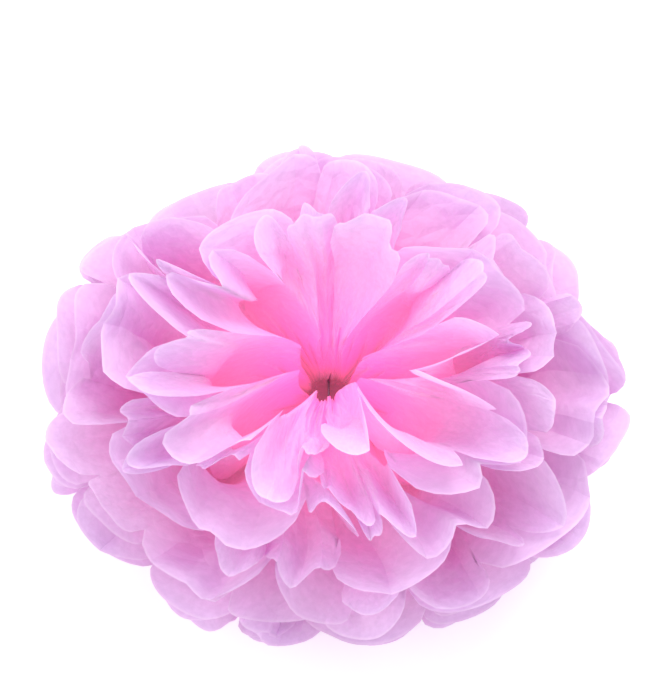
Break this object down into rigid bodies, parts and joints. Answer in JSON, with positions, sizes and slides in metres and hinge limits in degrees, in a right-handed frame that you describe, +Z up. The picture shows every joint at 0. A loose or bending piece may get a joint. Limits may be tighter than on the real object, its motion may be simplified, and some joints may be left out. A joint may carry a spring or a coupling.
{
  "type": "tissue paper pom pom",
  "caption": "Ball of pleated tissue paper, tied at the middle and fanned out into ruffled petals, for hanging or setting on a table as party decoration.",
  "frame": {"origin": "on the table, under the middle of the ball's outline", "axes": "+Z up through the crown of petals; +X along the pleated sheets' two fans; +Y along the seam where the fans meet, away from the viewer"},
  "size_m": [0.2532, 0.2108, 0.2054],
  "materials": {
    "tissue": "matt, slightly see-through coloured tissue",
    "tie_wire": "plain galvanised binding wire"
  },
  "bodies": {
    "root": {"tissue_sheet_01": "tissue", "tissue_sheet_02": "tissue", "tissue_sheet_03": "tissue", "tissue_sheet_04": "tissue", "tissue_sheet_05": "tissue", "tissue_sheet_06": "tissue", "tissue_sheet_07": "tissue", "tissue_sheet_08": "tissue", "tissue_sheet_09": "tissue", "tissue_sheet_10": "tissue", "tissue_sheet_11": "tissue", "tissue_sheet_12": "tissue", "centre_tie_wire": "tie_wire"}
  },
  "joints": []
}
